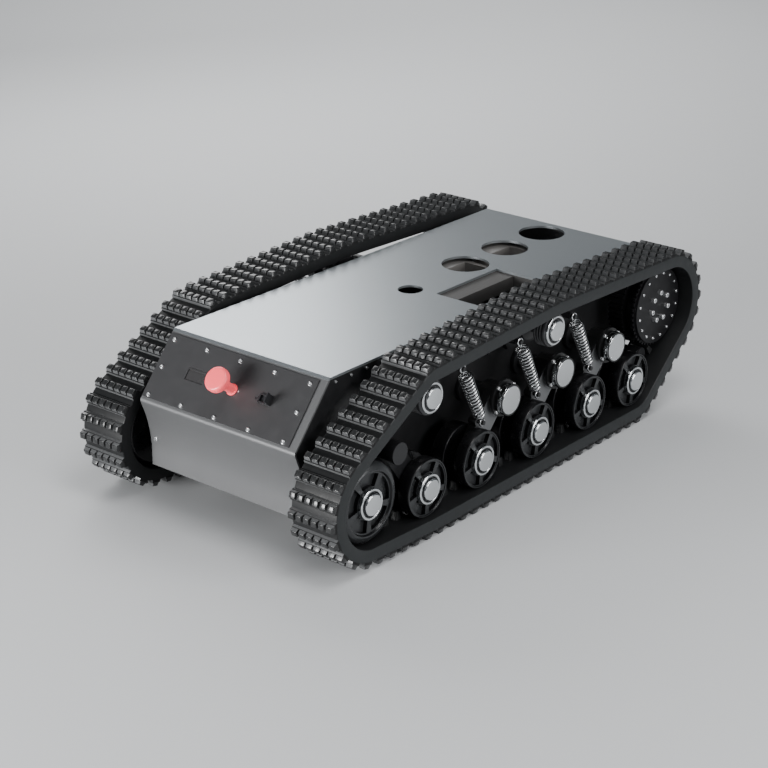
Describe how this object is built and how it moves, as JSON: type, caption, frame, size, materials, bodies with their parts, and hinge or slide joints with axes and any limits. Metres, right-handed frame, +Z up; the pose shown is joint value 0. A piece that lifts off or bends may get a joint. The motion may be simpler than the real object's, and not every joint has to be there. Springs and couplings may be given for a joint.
{
  "type": "tracked robot chassis",
  "caption": "Tracked robot chassis: a sheet-metal hull with a flat deck between two rubber tracks on sprung road wheels, with a drive sprocket, idler and return rollers.",
  "frame": {"origin": "on the ground, at the middle of the overall box", "axes": "+X forward, towards the sloped nose and the idlers; +Y to the vehicle's left; +Z up"},
  "size_m": [0.9624, 0.517, 0.2936],
  "materials": {
    "hull_paint": "dark grey satin powder coat",
    "deck_metal": "satin silver-grey sheet",
    "nose_paint": "mid grey satin paint",
    "cover_black": "near-black satin paint",
    "display": "gloss black window",
    "black_plastic": "matte black",
    "red_plastic": "gloss signal red",
    "steel": "plain steel",
    "bracket_paint": "grey satin paint",
    "battery_case": "dark blue-black case",
    "box_metal": "folded sheet, matt",
    "driver_metal": "black anodised heat sink",
    "track_rubber": "dark moulded rubber with a slight sheen",
    "chrome": "bright plated steel wire",
    "motor_metal": "black painted motor",
    "sprocket_black": "black satin",
    "wheel_metal": "dark grey satin",
    "roller_plastic": "black moulded plastic",
    "arm_metal": "dark grey satin casting"
  },
  "bodies": {
    "chassis": {"hull_tub": "hull_paint", "deck_plate": "deck_metal", "nose_plate": "nose_paint", "front_cover": "cover_black", "rear_plate": "nose_paint", "access_well": "box_metal", "display_window": "display", "charge_port": "black_plastic", "estop_collar": "red_plastic", "cover_screws": "steel", "wall_rivets": "steel", "arm_pivot_shafts": "bracket_paint", "spring_hangers": "bracket_paint", "idler_brackets": "bracket_paint", "roller_brackets": "bracket_paint", "battery_pack": "battery_case", "control_box": "box_metal", "motor_driver": "driver_metal", "track_belt_left": "track_rubber", "track_belt_right": "track_rubber", "track_lugs_left": "track_rubber", "track_lugs_right": "track_rubber", "coil_springs_left": "chrome", "coil_springs_right": "chrome", "gear_motor_left": "motor_metal", "gear_motor_right": "motor_metal"},
    "estop_button": {"estop_button": "red_plastic"},
    "port_flap": {"port_flap": "black_plastic"},
    "sprocket_left": {"sprocket_left": "sprocket_black", "sprocket_screws_left": "steel"},
    "idler_left": {"idler_left": "wheel_metal"},
    "return_roller_front_left": {"return_roller_front_left": "roller_plastic"},
    "return_roller_mid_left": {"return_roller_mid_left": "roller_plastic"},
    "swing_arm_left_1": {"swing_arm_left_1": "bracket_paint"},
    "road_wheel_left_1": {"road_wheel_left_1": "wheel_metal"},
    "swing_arm_left_2": {"swing_arm_left_2": "arm_metal"},
    "road_wheel_left_2": {"road_wheel_left_2": "wheel_metal"},
    "swing_arm_left_3": {"swing_arm_left_3": "arm_metal"},
    "road_wheel_left_3": {"road_wheel_left_3": "wheel_metal"},
    "swing_arm_left_4": {"swing_arm_left_4": "arm_metal"},
    "road_wheel_left_4": {"road_wheel_left_4": "wheel_metal"},
    "swing_arm_left_5": {"swing_arm_left_5": "bracket_paint"},
    "road_wheel_left_5": {"road_wheel_left_5": "wheel_metal"},
    "sprocket_right": {"sprocket_right": "sprocket_black", "sprocket_screws_right": "steel"},
    "idler_right": {"idler_right": "wheel_metal"},
    "return_roller_front_right": {"return_roller_front_right": "roller_plastic"},
    "return_roller_mid_right": {"return_roller_mid_right": "roller_plastic"},
    "swing_arm_right_1": {"swing_arm_right_1": "bracket_paint"},
    "road_wheel_right_1": {"road_wheel_right_1": "wheel_metal"},
    "swing_arm_right_2": {"swing_arm_right_2": "arm_metal"},
    "road_wheel_right_2": {"road_wheel_right_2": "wheel_metal"},
    "swing_arm_right_3": {"swing_arm_right_3": "arm_metal"},
    "road_wheel_right_3": {"road_wheel_right_3": "wheel_metal"},
    "swing_arm_right_4": {"swing_arm_right_4": "arm_metal"},
    "road_wheel_right_4": {"road_wheel_right_4": "wheel_metal"},
    "swing_arm_right_5": {"swing_arm_right_5": "bracket_paint"},
    "road_wheel_right_5": {"road_wheel_right_5": "wheel_metal"}
  },
  "joints": [
    {"name": "estop_press", "type": "slide", "parent": "chassis", "child": "estop_button", "axis": [-0.766, 0, -0.6428], "range_m": [0, 0.005], "stiffness_N_per_m": 900, "springref_m": -0.004},
    {"name": "port_flap_hinge", "type": "hinge", "parent": "chassis", "child": "port_flap", "pos_m": [0.40883, 0.0776, 0.22121], "axis": [-0.6428, 0, 0.766], "range_deg": [-105, 0]},
    {"name": "sprocket_left_spin", "type": "hinge", "parent": "chassis", "child": "sprocket_left", "pos_m": [-0.38, 0.216, 0.182], "axis": [0, 1, 0], "continuous": true},
    {"name": "idler_left_spin", "type": "hinge", "parent": "chassis", "child": "idler_left", "pos_m": [0.386, 0.216, 0.101], "axis": [0, 1, 0], "continuous": true},
    {"name": "return_roller_front_left_spin", "type": "hinge", "parent": "chassis", "child": "return_roller_front_left", "pos_m": [0.2495, 0.216, 0.221], "axis": [0, 1, 0], "continuous": true},
    {"name": "return_roller_mid_left_spin", "type": "hinge", "parent": "chassis", "child": "return_roller_mid_left", "pos_m": [-0.057, 0.216, 0.2355], "axis": [0, 1, 0], "continuous": true},
    {"name": "swing_arm_left_1_swing", "type": "hinge", "parent": "chassis", "child": "swing_arm_left_1", "pos_m": [0.308, 0.216, 0.1493], "axis": [0, 1, 0], "range_deg": [0, 12], "stiffness_Nm_per_rad": 30, "springref_deg": -8.59},
    {"name": "road_wheel_left_1_spin", "type": "hinge", "parent": "swing_arm_left_1", "child": "road_wheel_left_1", "pos_m": [0.253, 0.216, 0.0763], "axis": [0, 1, 0], "continuous": true},
    {"name": "swing_arm_left_2_swing", "type": "hinge", "parent": "chassis", "child": "swing_arm_left_2", "pos_m": [0.053, 0.216, 0.1533], "axis": [0, -1, 0], "range_deg": [0, 12], "stiffness_Nm_per_rad": 30, "springref_deg": -8.59, "deforming": ["coil_springs_left"]},
    {"name": "road_wheel_left_2_spin", "type": "hinge", "parent": "swing_arm_left_2", "child": "road_wheel_left_2", "pos_m": [0.121, 0.216, 0.0763], "axis": [0, 1, 0], "continuous": true},
    {"name": "swing_arm_left_3_swing", "type": "hinge", "parent": "chassis", "child": "swing_arm_left_3", "pos_m": [-0.091, 0.216, 0.1533], "axis": [0, -1, 0], "range_deg": [0, 12], "stiffness_Nm_per_rad": 30, "springref_deg": -8.59},
    {"name": "road_wheel_left_3_spin", "type": "hinge", "parent": "swing_arm_left_3", "child": "road_wheel_left_3", "pos_m": [-0.023, 0.216, 0.0763], "axis": [0, 1, 0], "continuous": true},
    {"name": "swing_arm_left_4_swing", "type": "hinge", "parent": "chassis", "child": "swing_arm_left_4", "pos_m": [-0.236, 0.216, 0.1533], "axis": [0, -1, 0], "range_deg": [0, 12], "stiffness_Nm_per_rad": 30, "springref_deg": -8.59},
    {"name": "road_wheel_left_4_spin", "type": "hinge", "parent": "swing_arm_left_4", "child": "road_wheel_left_4", "pos_m": [-0.168, 0.216, 0.0763], "axis": [0, 1, 0], "continuous": true},
    {"name": "swing_arm_left_5_swing", "type": "hinge", "parent": "chassis", "child": "swing_arm_left_5", "pos_m": [-0.35, 0.216, 0.1003], "axis": [0, -1, 0], "range_deg": [0, 12], "stiffness_Nm_per_rad": 30, "springref_deg": -8.59},
    {"name": "road_wheel_left_5_spin", "type": "hinge", "parent": "swing_arm_left_5", "child": "road_wheel_left_5", "pos_m": [-0.295, 0.216, 0.0763], "axis": [0, 1, 0], "continuous": true},
    {"name": "sprocket_right_spin", "type": "hinge", "parent": "chassis", "child": "sprocket_right", "pos_m": [-0.38, -0.216, 0.182], "axis": [0, 1, 0], "continuous": true},
    {"name": "idler_right_spin", "type": "hinge", "parent": "chassis", "child": "idler_right", "pos_m": [0.386, -0.216, 0.101], "axis": [0, 1, 0], "continuous": true},
    {"name": "return_roller_front_right_spin", "type": "hinge", "parent": "chassis", "child": "return_roller_front_right", "pos_m": [0.2495, -0.216, 0.221], "axis": [0, 1, 0], "continuous": true},
    {"name": "return_roller_mid_right_spin", "type": "hinge", "parent": "chassis", "child": "return_roller_mid_right", "pos_m": [-0.057, -0.216, 0.2355], "axis": [0, 1, 0], "continuous": true},
    {"name": "swing_arm_right_1_swing", "type": "hinge", "parent": "chassis", "child": "swing_arm_right_1", "pos_m": [0.308, -0.216, 0.1493], "axis": [0, 1, 0], "range_deg": [0, 12], "stiffness_Nm_per_rad": 30, "springref_deg": -8.59},
    {"name": "road_wheel_right_1_spin", "type": "hinge", "parent": "swing_arm_right_1", "child": "road_wheel_right_1", "pos_m": [0.253, -0.216, 0.0763], "axis": [0, 1, 0], "continuous": true},
    {"name": "swing_arm_right_2_swing", "type": "hinge", "parent": "chassis", "child": "swing_arm_right_2", "pos_m": [0.053, -0.216, 0.1533], "axis": [0, -1, 0], "range_deg": [0, 12], "stiffness_Nm_per_rad": 30, "springref_deg": -8.59, "deforming": ["coil_springs_right"]},
    {"name": "road_wheel_right_2_spin", "type": "hinge", "parent": "swing_arm_right_2", "child": "road_wheel_right_2", "pos_m": [0.121, -0.216, 0.0763], "axis": [0, 1, 0], "continuous": true},
    {"name": "swing_arm_right_3_swing", "type": "hinge", "parent": "chassis", "child": "swing_arm_right_3", "pos_m": [-0.091, -0.216, 0.1533], "axis": [0, -1, 0], "range_deg": [0, 12], "stiffness_Nm_per_rad": 30, "springref_deg": -8.59},
    {"name": "road_wheel_right_3_spin", "type": "hinge", "parent": "swing_arm_right_3", "child": "road_wheel_right_3", "pos_m": [-0.023, -0.216, 0.0763], "axis": [0, 1, 0], "continuous": true},
    {"name": "swing_arm_right_4_swing", "type": "hinge", "parent": "chassis", "child": "swing_arm_right_4", "pos_m": [-0.236, -0.216, 0.1533], "axis": [0, -1, 0], "range_deg": [0, 12], "stiffness_Nm_per_rad": 30, "springref_deg": -8.59},
    {"name": "road_wheel_right_4_spin", "type": "hinge", "parent": "swing_arm_right_4", "child": "road_wheel_right_4", "pos_m": [-0.168, -0.216, 0.0763], "axis": [0, 1, 0], "continuous": true},
    {"name": "swing_arm_right_5_swing", "type": "hinge", "parent": "chassis", "child": "swing_arm_right_5", "pos_m": [-0.35, -0.216, 0.1003], "axis": [0, -1, 0], "range_deg": [0, 12], "stiffness_Nm_per_rad": 30, "springref_deg": -8.59},
    {"name": "road_wheel_right_5_spin", "type": "hinge", "parent": "swing_arm_right_5", "child": "road_wheel_right_5", "pos_m": [-0.295, -0.216, 0.0763], "axis": [0, 1, 0], "continuous": true}
  ],
  "couplings": [
    {"joint": "idler_left_spin", "follows": "sprocket_left_spin", "ratio": 1.0873},
    {"joint": "return_roller_front_left_spin", "follows": "sprocket_left_spin", "ratio": 2.5088},
    {"joint": "return_roller_mid_left_spin", "follows": "sprocket_left_spin", "ratio": 2.5088},
    {"joint": "road_wheel_left_1_spin", "follows": "sprocket_left_spin", "ratio": 1.5335},
    {"joint": "road_wheel_left_2_spin", "follows": "sprocket_left_spin", "ratio": 1.5335},
    {"joint": "road_wheel_left_3_spin", "follows": "sprocket_left_spin", "ratio": 1.5335},
    {"joint": "road_wheel_left_4_spin", "follows": "sprocket_left_spin", "ratio": 1.5335},
    {"joint": "road_wheel_left_5_spin", "follows": "sprocket_left_spin", "ratio": 1.5335},
    {"joint": "idler_right_spin", "follows": "sprocket_right_spin", "ratio": 1.0873},
    {"joint": "return_roller_front_right_spin", "follows": "sprocket_right_spin", "ratio": 2.5088},
    {"joint": "return_roller_mid_right_spin", "follows": "sprocket_right_spin", "ratio": 2.5088},
    {"joint": "road_wheel_right_1_spin", "follows": "sprocket_right_spin", "ratio": 1.5335},
    {"joint": "road_wheel_right_2_spin", "follows": "sprocket_right_spin", "ratio": 1.5335},
    {"joint": "road_wheel_right_3_spin", "follows": "sprocket_right_spin", "ratio": 1.5335},
    {"joint": "road_wheel_right_4_spin", "follows": "sprocket_right_spin", "ratio": 1.5335},
    {"joint": "road_wheel_right_5_spin", "follows": "sprocket_right_spin", "ratio": 1.5335}
  ]
}
